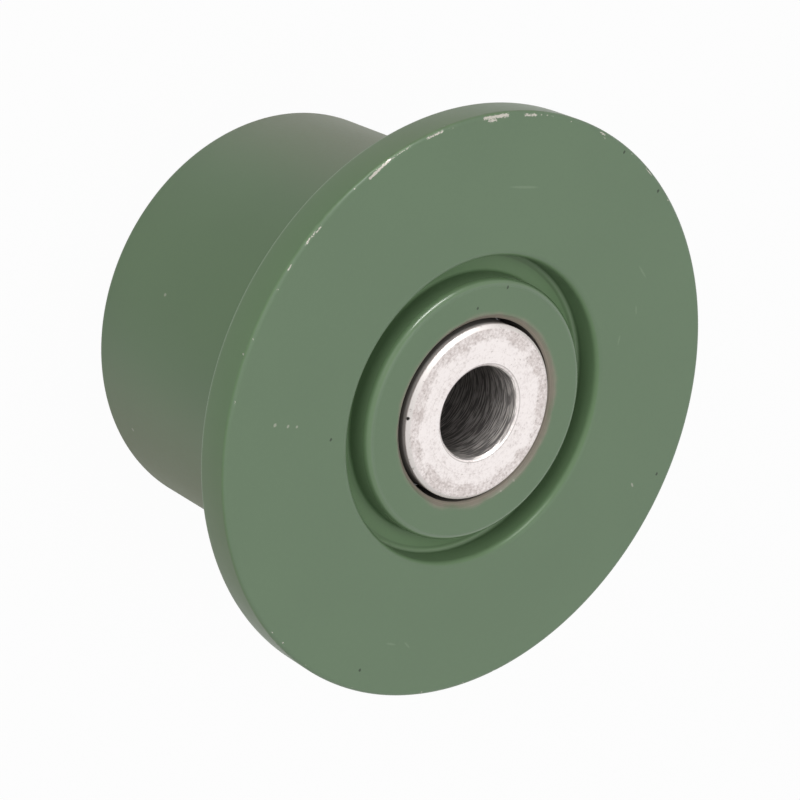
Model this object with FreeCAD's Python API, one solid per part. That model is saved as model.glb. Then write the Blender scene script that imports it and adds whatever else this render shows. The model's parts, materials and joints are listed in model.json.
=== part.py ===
"""Flanged support roller: a painted steel roller that turns on two sealed ball bearings.

The roller stands on its back end with the flange on top. The axis is +Z, and the origin is
on the axis at the back end of the axle sleeve. All sizes are in millimetres.
"""
import FreeCAD, Part
import math
import os

# Axle sleeve, clamped by a bolt through its bore
SLEEVE_DIAMETER = 40.0
SLEEVE_BORE = 21.0
SLEEVE_OVERHANG = 0.75
SLEEVE_END_CHAMFER = 0.85
SLEEVE_BORE_CHAMFER = 0.8
COLLAR_HEIGHT = 3.8
COLLAR_CHAMFER = 0.6
COLLAR_ROOT_RADIUS = 0.5

# Sealed deep groove ball bearing, used twice
BALL_DIAMETER = 12.0
BALL_COUNT = 9
BALL_CLEARANCE = 0.1
RACE_RELIEF = 0.3
RACE_SHOULDER_HEIGHT = 2.3
INNER_RING_WALL = 3.9
OUTER_RING_WALL = 3.9
RING_CORNER_RADIUS = 1.1

# Riveted sheet steel cage of the bearing
CAGE_SHEET = 0.9
CAGE_BAND_WIDTH = 5.4
CAGE_POCKET_GAP = 0.15
RIVET_DIAMETER = 2.0
RIVET_HEAD_DIAMETER = 3.4
RIVET_HEAD_HEIGHT = 0.8

# Rubber seals of the bearing
SEAL_THICKNESS = 1.4
SEAL_INSET = 0.2
SEAL_CAGE_GAP = 0.35
SEAL_SEAT_DEPTH = 2.1
SEAL_LAND_DEPTH = 0.7
SEAL_LIP_GAP = 0.15
SEAL_RIM_WIDTH = 1.6
SEAL_WEB_RECESS = 0.4
SEAL_EDGE_RADIUS = 0.2

# Roller body: the drum that carries the load and the flange that guides
BODY_WIDTH = 76.0
DRUM_WALL = 8.75
DRUM_EDGE_RADIUS = 1.0
DRUM_ROOT_RADIUS = 2.0
FLANGE_HEIGHT = 17.75
FLANGE_THICKNESS = 8.5
FLANGE_EDGE_RADIUS = 0.6

# Hub of the body around the sleeve, and the ring groove around the hub
LIP_GAP = 1.0
LIP_CHAMFER = 1.1
HUB_WALL = 8.9
HUB_SETBACK = 0.1
HUB_EDGE_RADIUS = 1.0
GROOVE_WIDTH = 4.95
GROOVE_DEPTH = 6.9
GROOVE_RIM_RADIUS = 1.7
GROOVE_FLOOR_RADIUS = 1.4
GROOVE_BACKING = 5.1

# Seat of the bearings inside the drum
SHOULDER_WIDTH = 3.6
SHOULDER_RELIEF = 1.5
SEAT_ROOT_RADIUS = 0.6
SEAT_LEAD_IN = 1.0

# Retaining ring that holds the bearings in the drum
CLIP_THICKNESS = 2.5
CLIP_GROOVE_DEPTH = 1.75
CLIP_GROOVE_PLAY = 0.15
CLIP_RADIAL_PLAY = 0.1
CLIP_END_DISTANCE = 5.5
CLIP_WIDEST = 6.4
CLIP_NARROWEST = 4.2
CLIP_GAP_WIDTH = 7.0
CLIP_LUG_RADIUS = 4.0
CLIP_LUG_REACH = 5.4
CLIP_HOLE_DIAMETER = 3.0

# Radii of the sleeve and the bearing, from the bore outwards
sleeve_bore_r = SLEEVE_BORE / 2
sleeve_r = SLEEVE_DIAMETER / 2
collar_r = sleeve_r + COLLAR_HEIGHT
ball_r = BALL_DIAMETER / 2
race_r = ball_r + RACE_RELIEF
inner_race_r = sleeve_r + INNER_RING_WALL
pitch_r = inner_race_r + BALL_CLEARANCE + ball_r
outer_race_r = pitch_r + ball_r + BALL_CLEARANCE
seat_r = outer_race_r + OUTER_RING_WALL
inner_shoulder_r = inner_race_r + RACE_SHOULDER_HEIGHT
outer_shoulder_r = outer_race_r - RACE_SHOULDER_HEIGHT
seal_land_r = inner_shoulder_r - SEAL_LAND_DEPTH
seal_seat_r = outer_shoulder_r + SEAL_SEAT_DEPTH
pocket_r = ball_r + CAGE_POCKET_GAP
dome_r = pocket_r + CAGE_SHEET

# Radii of the roller body
relief_r = seat_r - SHOULDER_WIDTH
clip_groove_r = seat_r + CLIP_GROOVE_DEPTH
drum_r = seat_r + DRUM_WALL
flange_r = drum_r + FLANGE_HEIGHT
lip_r = sleeve_r + LIP_GAP
hub_r = lip_r + HUB_WALL
groove_r = hub_r + GROOVE_WIDTH

# Heights inside a bearing, from its lower face
seal_depth = SEAL_INSET + SEAL_THICKNESS
bearing_middle = seal_depth + SEAL_CAGE_GAP + dome_r
bearing_width = 2 * bearing_middle

# Heights of the roller, from the back end to the front
drum_end_z = SLEEVE_OVERHANG
clip_z = drum_end_z + CLIP_END_DISTANCE
rear_bearing_z = clip_z + CLIP_THICKNESS
rear_bearing_top_z = rear_bearing_z + bearing_width
flange_face_z = drum_end_z + BODY_WIDTH
flange_back_z = flange_face_z - FLANGE_THICKNESS
hub_face_z = flange_face_z - HUB_SETBACK
groove_floor_z = flange_face_z - GROOVE_DEPTH
front_bearing_top_z = groove_floor_z - GROOVE_BACKING
front_bearing_z = front_bearing_top_z - bearing_width
sleeve_top_z = flange_face_z + SLEEVE_OVERHANG

ORIGIN = FreeCAD.Vector(0, 0, 0)
UP = FreeCAD.Vector(0, 0, 1)
FULL_TURN = 360.0
SHORTEST_EDGE = 1e-7


def corner(radius, height, fillet=0.0, chamfer=0.0):
    """One corner of a turned outline, with an optional rounding or chamfer."""
    return FreeCAD.Vector(radius, 0, height), fillet, chamfer


def corner_span(before, here, after, fillet, chamfer):
    """Where the outline leaves its two straight runs at a corner."""
    back = (before - here).normalize()
    ahead = (after - here).normalize()
    setback = chamfer
    if fillet:
        setback = fillet / math.tan(back.getAngle(ahead) / 2)
    return here + back * setback, here + ahead * setback


def rounding(start, here, end, fillet):
    """Arc of the given radius between two points at the same distance from a corner."""
    middle = (start + end) * 0.5
    half_chord = (end - start).Length / 2
    sagitta = fillet - math.sqrt(fillet * fillet - half_chord * half_chord)
    towards_corner = (here - middle).normalize()
    return Part.Arc(start, middle + towards_corner * sagitta, end).toShape()


def straight(start, end):
    """A list with the straight edge between two points, or nothing where they meet."""
    if (end - start).Length < SHORTEST_EDGE:
        return []
    return [Part.LineSegment(start, end).toShape()]


def turned(corners):
    """Solid of revolution about Z from a closed outline of corners."""
    points = [place for place, fillet, chamfer in corners]
    followers = points[1:] + points[:1]
    spans = []
    for i, (here, fillet, chamfer) in enumerate(corners):
        spans.append(corner_span(points[i - 1], here, followers[i], fillet, chamfer))
    edges = []
    for i, (start, end) in enumerate(spans):
        edges += straight(spans[i - 1][1], start)
        fillet = corners[i][1]
        if fillet:
            edges.append(rounding(start, points[i], end, fillet))
        else:
            edges += straight(start, end)
    return Part.Face(Part.Wire(edges)).revolve(ORIGIN, UP, FULL_TURN)


def raised(shape, height):
    """A copy of the shape, raised by the given height."""
    return shape.translated(UP * height)


def round_the_axis(shape, count, first_turn=0.0):
    """Evenly spaced copies of the shape about the axis."""
    step = FULL_TURN / count
    return [shape.rotated(ORIGIN, UP, first_turn + step * k) for k in range(count)]


def roller_body():
    """Drum, flange, hub and bearing seat, turned in one piece."""
    clip_groove_low = clip_z - CLIP_GROOVE_PLAY / 2
    clip_groove_high = rear_bearing_z + CLIP_GROOVE_PLAY / 2
    relief_z = front_bearing_top_z + SHOULDER_RELIEF
    return turned([
        corner(seat_r, drum_end_z, chamfer=SEAT_LEAD_IN),
        corner(drum_r, drum_end_z, fillet=DRUM_EDGE_RADIUS),
        corner(drum_r, flange_back_z, fillet=DRUM_ROOT_RADIUS),
        corner(flange_r, flange_back_z, fillet=FLANGE_EDGE_RADIUS),
        corner(flange_r, flange_face_z, fillet=FLANGE_EDGE_RADIUS),
        corner(groove_r, flange_face_z, fillet=GROOVE_RIM_RADIUS),
        corner(groove_r, groove_floor_z, fillet=GROOVE_FLOOR_RADIUS),
        corner(hub_r, groove_floor_z, fillet=GROOVE_FLOOR_RADIUS),
        corner(hub_r, hub_face_z, fillet=HUB_EDGE_RADIUS),
        corner(lip_r, hub_face_z, chamfer=LIP_CHAMFER),
        corner(lip_r, relief_z),
        corner(relief_r, relief_z),
        corner(relief_r, front_bearing_top_z),
        corner(seat_r, front_bearing_top_z, fillet=SEAT_ROOT_RADIUS),
        corner(seat_r, clip_groove_high),
        corner(clip_groove_r, clip_groove_high),
        corner(clip_groove_r, clip_groove_low),
        corner(seat_r, clip_groove_low),
    ])


def axle_sleeve():
    """Thick sleeve with a collar between the two bearings."""
    return turned([
        corner(sleeve_bore_r, 0, chamfer=SLEEVE_BORE_CHAMFER),
        corner(sleeve_r, 0, chamfer=SLEEVE_END_CHAMFER),
        corner(sleeve_r, rear_bearing_top_z, fillet=COLLAR_ROOT_RADIUS),
        corner(collar_r, rear_bearing_top_z, chamfer=COLLAR_CHAMFER),
        corner(collar_r, front_bearing_z, chamfer=COLLAR_CHAMFER),
        corner(sleeve_r, front_bearing_z, fillet=COLLAR_ROOT_RADIUS),
        corner(sleeve_r, sleeve_top_z, chamfer=SLEEVE_END_CHAMFER),
        corner(sleeve_bore_r, sleeve_top_z, chamfer=SLEEVE_BORE_CHAMFER),
    ])


def retaining_ring():
    """Internal spring ring that narrows towards two lugs with plier holes."""
    outer_r = clip_groove_r - CLIP_RADIAL_PLAY
    inner_r = outer_r - (CLIP_WIDEST + CLIP_NARROWEST) / 2
    shift = FreeCAD.Vector((CLIP_WIDEST - CLIP_NARROWEST) / 2, 0, 0)
    disc = Part.makeCylinder(outer_r, CLIP_THICKNESS)
    ring = disc.cut(Part.makeCylinder(inner_r, CLIP_THICKNESS, shift))
    lug_r = outer_r - CLIP_LUG_REACH
    lug_y = CLIP_GAP_WIDTH / 2 + CLIP_LUG_RADIUS
    lug_x = math.sqrt(lug_r * lug_r - lug_y * lug_y)
    cuts = [Part.makeBox(outer_r, CLIP_GAP_WIDTH, CLIP_THICKNESS, FreeCAD.Vector(0, -CLIP_GAP_WIDTH / 2, 0))]
    for side in (-1, 1):
        place = FreeCAD.Vector(lug_x, side * lug_y, 0)
        lug = Part.makeCylinder(CLIP_LUG_RADIUS, CLIP_THICKNESS, place)
        ring = ring.fuse(lug.common(disc))
        cuts.append(Part.makeCylinder(CLIP_HOLE_DIAMETER / 2, CLIP_THICKNESS, place))
    return raised(ring.cut(cuts).removeSplitter(), clip_z)


def race_groove(centre_r):
    """Ring that cuts a ball race out of a bearing ring."""
    return Part.makeTorus(centre_r, race_r, UP * bearing_middle, UP)


def bearing_outer_ring():
    """Outer ring with a ball race and a seat for a seal on each side."""
    upper_seat = bearing_width - seal_depth
    ring = turned([
        corner(seal_seat_r, 0),
        corner(seat_r, 0, fillet=RING_CORNER_RADIUS),
        corner(seat_r, bearing_width, fillet=RING_CORNER_RADIUS),
        corner(seal_seat_r, bearing_width),
        corner(seal_seat_r, upper_seat),
        corner(outer_shoulder_r, upper_seat),
        corner(outer_shoulder_r, seal_depth),
        corner(seal_seat_r, seal_depth),
    ])
    return ring.cut(race_groove(outer_race_r - race_r))


def bearing_inner_ring():
    """Inner ring with a ball race and a land for a seal's lip on each side."""
    upper_land = bearing_width - seal_depth
    ring = turned([
        corner(sleeve_r, 0, fillet=RING_CORNER_RADIUS),
        corner(seal_land_r, 0),
        corner(seal_land_r, seal_depth),
        corner(inner_shoulder_r, seal_depth),
        corner(inner_shoulder_r, upper_land),
        corner(seal_land_r, upper_land),
        corner(seal_land_r, bearing_width),
        corner(sleeve_r, bearing_width, fillet=RING_CORNER_RADIUS),
    ])
    return ring.cut(race_groove(inner_race_r + race_r))


def bearing_back_seal():
    """Lower seal: a thin disc held in the outer ring, with a rim, a recessed web and a lip."""
    lip_tip_r = seal_land_r + SEAL_LIP_GAP
    web_inner_r = lip_tip_r + SEAL_RIM_WIDTH
    web_outer_r = seal_seat_r - SEAL_RIM_WIDTH
    web_z = SEAL_INSET + SEAL_WEB_RECESS
    return turned([
        corner(lip_tip_r, SEAL_INSET, fillet=SEAL_EDGE_RADIUS),
        corner(web_inner_r, SEAL_INSET, fillet=SEAL_EDGE_RADIUS),
        corner(web_inner_r, web_z),
        corner(web_outer_r, web_z),
        corner(web_outer_r, SEAL_INSET, fillet=SEAL_EDGE_RADIUS),
        corner(seal_seat_r, SEAL_INSET, fillet=SEAL_EDGE_RADIUS),
        corner(seal_seat_r, seal_depth),
        corner(lip_tip_r, seal_depth),
    ])


def balls_of(radius):
    """Spheres of one radius at the places of the balls."""
    place = FreeCAD.Vector(pitch_r, 0, bearing_middle)
    return round_the_axis(Part.makeSphere(radius, place), BALL_COUNT)


def between_balls(shape):
    """Copies of a shape that stands on the axis, one halfway between each two balls."""
    moved = shape.translated(FreeCAD.Vector(pitch_r, 0, bearing_middle))
    return round_the_axis(moved, BALL_COUNT, FULL_TURN / BALL_COUNT / 2)


def cage_rivet():
    """Rivet with a round head on each side of the cage's two sheets."""
    shank_r = RIVET_DIAMETER / 2
    head_r = RIVET_HEAD_DIAMETER / 2
    head_edge = RIVET_HEAD_HEIGHT / 2
    top = CAGE_SHEET + RIVET_HEAD_HEIGHT
    return turned([
        corner(0, -top),
        corner(head_r, -top, fillet=head_edge),
        corner(head_r, -CAGE_SHEET),
        corner(shank_r, -CAGE_SHEET),
        corner(shank_r, CAGE_SHEET),
        corner(head_r, CAGE_SHEET),
        corner(head_r, top, fillet=head_edge),
        corner(0, top),
    ])


def cage_band(height):
    """Plain ring as wide as the cage, from the middle of the bearing up."""
    inner_r = pitch_r - CAGE_BAND_WIDTH / 2
    outer_r = pitch_r + CAGE_BAND_WIDTH / 2
    top = bearing_middle + height
    return turned([
        corner(inner_r, bearing_middle),
        corner(outer_r, bearing_middle),
        corner(outer_r, top),
        corner(inner_r, top),
    ])


def cage_front_half():
    """Upper half of the cage: a flat band pressed into a round pocket over each ball."""
    reach = cage_band(dome_r)
    domes = [dome.common(reach) for dome in balls_of(dome_r)]
    rivet_holes = between_balls(Part.makeCylinder(RIVET_DIAMETER / 2, CAGE_SHEET))
    half = cage_band(CAGE_SHEET).fuse(domes)
    return half.cut(balls_of(pocket_r) + rivet_holes).removeSplitter()


def turned_over(shape):
    """The shape mirrored across the middle of the bearing's width."""
    return shape.mirror(UP * bearing_middle, UP)


def bearing_pieces():
    """The pieces of a bearing whose lower face is at height zero, by name."""
    back_seal = bearing_back_seal()
    front_half = cage_front_half()
    pieces = {
        "outer_ring": bearing_outer_ring(),
        "inner_ring": bearing_inner_ring(),
        "cage_front_half": front_half,
        "cage_back_half": turned_over(front_half),
        "cage_rivets": Part.makeCompound(between_balls(cage_rivet())),
        "front_seal": turned_over(back_seal),
        "back_seal": back_seal,
    }
    for number, ball in enumerate(balls_of(ball_r), start=1):
        pieces[f"ball_{number}"] = ball
    return pieces


def main():
    """Build every piece and write it to its own file."""
    nodes = {
        "roller_body": roller_body(),
        "axle_sleeve": axle_sleeve(),
        "retaining_ring": retaining_ring(),
    }
    for piece, shape in bearing_pieces().items():
        nodes[f"front_bearing_{piece}"] = raised(shape, front_bearing_z)
        nodes[f"rear_bearing_{piece}"] = raised(shape, rear_bearing_z)
    os.makedirs("parts", exist_ok=True)
    for name, shape in nodes.items():
        shape.exportStep(f"parts/{name}.step")
        print(name, "solids", len(shape.Solids), "volume", round(shape.Volume, 1), "valid", shape.isValid())


main()
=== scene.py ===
"""Looks of a flanged support roller: its turned pieces, their finishes, the studio and the camera.

The packed model is the fixed frame. The painted body, the axle sleeve and the retaining ring are
modelled anew inside it, and the bearing pieces keep their solids and get their finishes here.
Lengths are in metres, and MM turns millimetres into them. The axis of the roller is Z.
"""
import json
import math
from typing import NamedTuple

import bmesh
import bpy
from bpy.props import FloatProperty, FloatVectorProperty, IntProperty, PointerProperty
from mathutils import Matrix, Vector
from mathutils.kdtree import KDTree


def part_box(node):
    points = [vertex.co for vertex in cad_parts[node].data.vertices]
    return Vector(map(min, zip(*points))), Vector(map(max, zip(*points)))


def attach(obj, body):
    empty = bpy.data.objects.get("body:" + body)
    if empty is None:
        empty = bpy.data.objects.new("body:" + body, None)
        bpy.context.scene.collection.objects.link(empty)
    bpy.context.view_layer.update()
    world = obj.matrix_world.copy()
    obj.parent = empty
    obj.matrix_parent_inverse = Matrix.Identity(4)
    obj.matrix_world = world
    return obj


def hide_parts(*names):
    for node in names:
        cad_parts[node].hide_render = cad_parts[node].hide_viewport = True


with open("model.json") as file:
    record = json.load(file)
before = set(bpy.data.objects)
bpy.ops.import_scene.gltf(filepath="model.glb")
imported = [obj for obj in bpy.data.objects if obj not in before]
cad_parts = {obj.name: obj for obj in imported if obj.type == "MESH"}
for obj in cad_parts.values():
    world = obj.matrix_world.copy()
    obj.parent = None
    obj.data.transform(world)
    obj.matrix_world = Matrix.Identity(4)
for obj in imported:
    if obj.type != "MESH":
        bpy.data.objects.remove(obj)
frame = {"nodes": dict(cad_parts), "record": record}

bl_info = {
    "name": "Support roller",
    "version": (1, 1, 0),
    "blender": (4, 5, 0),
    "location": "3D View > Sidebar > Roller",
    "description": "Models and finishes a flanged support roller and sets its studio",
    "category": "Object",
}

MM = 0.001
FULL_TURN = 2 * math.pi
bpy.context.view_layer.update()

# Places that the frame gives
BODY_LOW, BODY_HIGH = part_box("roller_body")
SLEEVE_LOW, SLEEVE_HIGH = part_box("axle_sleeve")
CLIP_LOW, CLIP_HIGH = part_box("retaining_ring")
REAR_RING_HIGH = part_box("rear_bearing_outer_ring")[1]
FRONT_RING_LOW, FRONT_RING_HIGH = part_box("front_bearing_outer_ring")
BORE_RADIUS = next(m["dims"]["r_mm"] for m in frame["record"]["mounts"] if m["name"] == "axle_bore") * MM


def length(name, description, default):
    """A property for a length."""
    return FloatProperty(name=name, description=description, default=default, min=0.0,
                         subtype="DISTANCE", unit="LENGTH", precision=5)


def colour(name, description, default):
    """A property for a linear colour."""
    return FloatVectorProperty(name=name, description=description, default=default,
                               subtype="COLOR", size=3, min=0.0, max=1.0)


def turn(name, description, degrees):
    """A property for an angle."""
    return FloatProperty(name=name, description=description, default=math.radians(degrees),
                         subtype="ANGLE", unit="ROTATION")


def amount(name, description, default):
    """A property for a plain number."""
    return FloatProperty(name=name, description=description, default=default, min=0.0)


def count(name, description, default):
    """A property for a whole number."""
    return IntProperty(name=name, description=description, default=default, min=1)


class BodySizes(bpy.types.PropertyGroup):
    """Sizes of the painted roller body."""
    flange_radius: length("Flange radius", "Outer radius of the guiding flange", BODY_HIGH.x)
    flange_thickness: length("Flange thickness", "Thickness of the flange", 8.5 * MM)
    flange_edge: length("Flange edge", "Rounding of the flange's front edge", 0.9 * MM)
    flange_back_edge: length("Flange back edge", "Rounding of the flange's back edge", 0.6 * MM)
    drum_radius: length("Drum radius", "Outer radius of the drum", 48.75 * MM)
    drum_edge: length("Drum edge", "Rounding of the drum's back edge", 1.0 * MM)
    drum_root: length("Drum root", "Rounding where the drum meets the flange", 2.0 * MM)
    hub_radius: length("Hub radius", "Outer radius of the hub", 29.9 * MM)
    hub_setback: length("Hub setback", "How far the hub stands back from the flange's face", 0.1 * MM)
    hub_edge: length("Hub edge", "Rounding of the hub's edge", 1.8 * MM)
    groove_width: length("Groove width", "Width of the ring groove around the hub", 4.95 * MM)
    groove_depth: length("Groove depth", "Depth of the ring groove", 6.9 * MM)
    groove_rim: length("Groove rim", "Rounding of the groove's outer rim", 1.7 * MM)
    groove_floor: length("Groove floor", "Rounding between the groove's floor and its outer wall", 1.0 * MM)
    hub_root: length("Hub root", "Rounding between the groove's floor and the hub", 0.7 * MM)
    lip_radius: length("Lip radius", "Radius of the hub's bore around the sleeve", 21.0 * MM)
    lip_chamfer: length("Lip chamfer", "Chamfer at the mouth of the hub's bore", 1.1 * MM)
    shoulder_width: length("Shoulder width", "Width of the shoulder behind the front bearing", 3.6 * MM)
    shoulder_relief: length("Shoulder relief", "Depth of the relief inside the shoulder", 1.5 * MM)
    seat_root: length("Seat root", "Rounding at the end of the bearing seat", 0.6 * MM)
    seat_lead_in: length("Seat lead-in", "Chamfer at the open end of the bearing seat", 1.0 * MM)
    clip_groove_depth: length("Clip groove depth", "Depth of the retaining ring's groove", 1.75 * MM)
    clip_groove_play: length("Clip groove play", "Room for the retaining ring in its groove", 0.15 * MM)
    ring_gap: length("Ring gap", "First gap between the rings of vertices that carry the chips", 0.2 * MM)
    ring_growth: amount("Ring growth", "How much each gap is wider than the one before", 1.2)
    face_rings: count("Face rings", "Rings of vertices on the face along the edge", 7)
    rim_rings: count("Rim rings", "Rings of vertices on the rim along the edge", 5)
    steps: count("Steps", "Faces around the body", 1200)


class SleeveSizes(bpy.types.PropertyGroup):
    """Sizes of the turned axle sleeve."""
    radius: length("Radius", "Outer radius of the sleeve", 20.0 * MM)
    bore_radius: length("Bore radius", "Radius of the bolt hole", BORE_RADIUS)
    end_chamfer: length("End chamfer", "Chamfer of the outer edges", 0.85 * MM)
    bore_chamfer: length("Bore chamfer", "Chamfer of the hole's mouths", 0.8 * MM)
    collar_radius: length("Collar radius", "Outer radius of the collar", SLEEVE_HIGH.x)
    collar_chamfer: length("Collar chamfer", "Chamfer of the collar's edges", 0.6 * MM)
    collar_root: length("Collar root", "Rounding beside the collar", 0.5 * MM)
    edge_break: length("Edge break", "Rounding of the chamfers' own edges", 0.2 * MM)
    drill_mark: length("Drill mark", "Depth of the lines that the drill left", 0.06 * MM)
    drill_lines: count("Drill lines", "Lines along the hole", 250)
    steps: count("Steps", "Faces around the sleeve", 240)


class ClipSizes(bpy.types.PropertyGroup):
    """Sizes of the stamped retaining ring."""
    edge: length("Edge", "Rounding of the stamped edges", 0.25 * MM)
    edge_faces: count("Edge faces", "Faces across each rounding", 3)


class PaintLook(bpy.types.PropertyGroup):
    """Green paint of the body and the steel under it."""
    paint: colour("Paint", "Green paint", (0.119, 0.193, 0.100))
    # This colour is a painted cool sheen: a reflection laid into the colour of the faces that look up.
    film_and_sheen: colour("Film", "Cool dusty film on the faces that look up", (0.205, 0.200, 0.235))
    # Used for the worn scratches, the lighter back edge and a painted highlight in the groove's corner.
    worn_and_highlight: colour("Worn", "Paint rubbed thin along an edge", (0.260, 0.330, 0.235))
    chip: colour("Chip", "Steel where the paint has chipped off", (0.56, 0.53, 0.47))
    # Used for the dark specks and for a painted shade line in the groove's corner.
    dirt_and_shade: colour("Dirt", "Dark specks in the paint", (0.030, 0.034, 0.026))
    # A painted warm reflection on the flanks of the drum and the rim.
    warm_reflection: colour("Dust", "Warm dust on the flanks of the drum and the rim", (0.220, 0.190, 0.124))
    lip: colour("Lip", "Turned steel at the mouth of the hub", (0.25, 0.222, 0.18))
    # A painted shade in the gap around the sleeve, darker deeper in.
    gap_shade: colour("Soot", "Grease and dust in the gap around the sleeve", (0.125, 0.115, 0.104))
    spread: amount("Spread", "How far the paint's tone strays", 0.022)
    cool_sheen_share: amount("Film share", "How much of that film covers the paint", 0.16)
    # The next four settings size that painted warm reflection and the rougher paint on the flanks.
    warm_reflection_share: amount("Dust share", "How much of the flanks the dust covers at least", 0.35)
    warm_reflection_grain: amount("Dust grain", "How much more of it the grain holds", 0.3)
    flank_roughness: amount("Dust roughness", "How much rougher it is, twice that on the low side", 0.12)
    rim_reflection_cut: amount("Rim clean", "How much less dust the rim holds than the drum", 0.7)
    # Lightens a thin line along the flange's back edge.
    back_edge_lightening: amount("Rubbed share", "How far the flange's back edge is rubbed", 0.7)
    # A painted highlight and a painted shade line beside it in the groove's corner.
    corner_highlight_share: amount("Bead share", "How much lighter the paint in the groove's corner is", 0.4)
    corner_shade_share: amount("Crease share", "How much dirt lies beside that bead", 0.2)
    scratch_share: amount("Scratch share", "How far the scratches are rubbed", 0.3)
    speck_share: amount("Speck share", "How bright the light specks are", 0.4)
    dirt_share: amount("Dirt share", "How dark the dark specks are", 0.8)
    cloud: length("Cloud", "Width of the patches of slightly different tone", 26 * MM)
    grain: length("Grain", "Width of the paint's fine grain", 0.9 * MM)
    peel: length("Peel", "Width of the waves in the paint", 1.6 * MM)
    stain: length("Stain", "Width of the uneven patches of grime at the mouth of the hub", 5.0 * MM)
    turning: length("Turning", "Width of the turned lines at the mouth of the hub", 0.25 * MM)
    ragged: length("Ragged", "Width of the teeth along the border of a chip", 0.24 * MM)
    stretch: amount("Stretch", "Below 1 it draws a chip's streaks out along the edge", 0.45)
    tearing: amount("Tearing", "How unevenly the border of a chip is torn", 2.2)
    relief: length("Relief", "Height of the paint's waves", 0.010 * MM)
    roughness: amount("Roughness", "Roughness of the paint", 0.34)
    gloss: amount("Gloss", "Share of light that the paint mirrors", 0.25)
    smoother: amount("Smoother", "How much smoother the paint is where it has gathered", 0.16)
    coat: amount("Coat", "Clear coat where the paint has gathered", 0.5)
    coat_roughness: amount("Coat roughness", "Roughness of that coat", 0.24)
    metallic: amount("Metallic", "How metallic the bare steel is under its grime", 0.3)


class SteelLook(bpy.types.PropertyGroup):
    """Bright turned steel of the sleeve."""
    face: colour("Face", "Bright patches of the end faces", (0.90, 0.845, 0.83))
    dull: colour("Dull", "Duller patches of the end faces", (0.60, 0.535, 0.515))
    chamfer: colour("Chamfer", "Turned chamfer of the end faces", (0.72, 0.68, 0.66))
    spot: colour("Spot", "Dark specks in the end faces", (0.26, 0.24, 0.22))
    nick: colour("Nick", "Dark nick in the chamfer", (0.03, 0.028, 0.026))
    bore: colour("Bore", "Light lines of the drilled wall", (0.88, 0.83, 0.79))
    bore_dark: colour("Bore dark", "Dark lines of the drilled wall", (0.30, 0.28, 0.27))
    # A painted shade deep in the hole.
    bore_shade: colour("Bore deep", "Greasy wall deep in the hole", (0.135, 0.124, 0.118))
    # A painted shade in the gap around the sleeve, darker deeper in.
    gap_shade: colour("Soot", "Grease and dust in the gap around the sleeve", (0.125, 0.115, 0.104))
    bright_radius: length("Bright radius", "Where the bright inner part ends", 16.7 * MM)
    speck: length("Speck", "Width of the dark specks", 0.7 * MM)
    patch: length("Patch", "Width of the patches with more specks", 5.0 * MM)
    ring: length("Ring", "Width of the lines that turning left", 0.22 * MM)
    line: length("Line", "Width of the lines that drilling left", 0.34 * MM)
    stretch: amount("Stretch", "Below 1 it draws those lines out around the hole", 0.07)
    line_relief: amount("Line relief", "How much higher they are than the turning lines", 5.0)
    # Depth and share of that painted shade in the hole.
    bore_shade_depth: length("Grease depth", "How deep in the hole the grease is full", 10 * MM)
    bore_shade_share: amount("Grease share", "How much of the deep wall the grease covers", 0.8)
    spot_share: amount("Spot share", "How dark the dark specks are", 0.6)
    mouth_share: amount("Mouth share", "How dark the line around the hole's mouth is", 0.5)
    roughness: amount("Roughness", "Roughness of the end faces", 0.42)
    slope_roughness: amount("Slope roughness", "How much rougher the chamfers are", 0.16)
    bore_smooth: amount("Bore smooth", "How much smoother the drilled wall is", 0.1)
    bore_grime: amount("Bore grime", "How much less metallic the drilled wall is", 0.6)
    gloss: amount("Gloss", "Share of light that the steel mirrors under its grime", 0.2)
    relief: length("Relief", "Height of the turning lines", 0.010 * MM)


class BearingLook(bpy.types.PropertyGroup):
    """Finishes of the bearings and of the retaining ring."""
    ground: colour("Ground", "Ground steel of the rings and balls", (0.62, 0.62, 0.63))
    cage: colour("Cage", "Pressed steel of the cages", (0.52, 0.49, 0.45))
    spring: colour("Spring", "Blackened steel of the retaining ring", (0.075, 0.072, 0.07))
    rubber: colour("Rubber", "Rubber of the seals", (0.030, 0.029, 0.028))
    film_and_sheen: length("Film", "Width of the patches of oil and dust", 6.0 * MM)
    grinding: length("Grinding", "Width of the grinding lines", 0.12 * MM)
    grain: length("Grain", "Width of the fine grain", 0.35 * MM)
    relief: length("Relief", "Height of the fine grain", 0.010 * MM)


class StudioSettings(bpy.types.PropertyGroup):
    """Light and camera."""
    elevation: turn("Elevation", "Height of the camera over the flange's plane", 46.43)
    roll: turn("Roll", "Turn of the camera about its own axis", 116.73)
    distance: length("Distance", "From the camera to the middle of the flange's face", 540.83 * MM)
    lens: amount("Lens", "Focal length on a 36 mm sensor, in millimetres", 112.44)
    ambient: amount("Ambient", "Light from all around", 0.26)
    lamp_distance: length("Lamp distance", "From each lamp to the roller", 1.5)
    floor_size: length("Floor size", "Width of the floor", 12.0)
    floor_gap: length("Floor gap", "Gap between the floor and the sleeve that stands on it", 0.05 * MM)
    floor_tone: colour("Floor tone", "Colour of the floor under the lamps", (0.40, 0.40, 0.40))
    floor_white: amount("Floor white", "Share of the floor that shows plain white", 0.97)


def lamp_settings(name, elevation, azimuth, power, width, height):
    """A group of settings for one lamp."""
    return type(f"{name.title()}Lamp", (bpy.types.PropertyGroup,), {
        "__doc__": f"The {name} lamp.",
        "__annotations__": {
            "elevation": turn("Elevation", "Height of the lamp over the flange's plane", elevation),
            "azimuth": turn("Azimuth", "Direction of the lamp around the axis", azimuth),
            "power": amount("Power", "Power of the lamp in watts", power),
            "width": length("Width", "Width of the lamp's face", width),
            "height": length("Height", "Height of the lamp's face", height),
        },
    })


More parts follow.
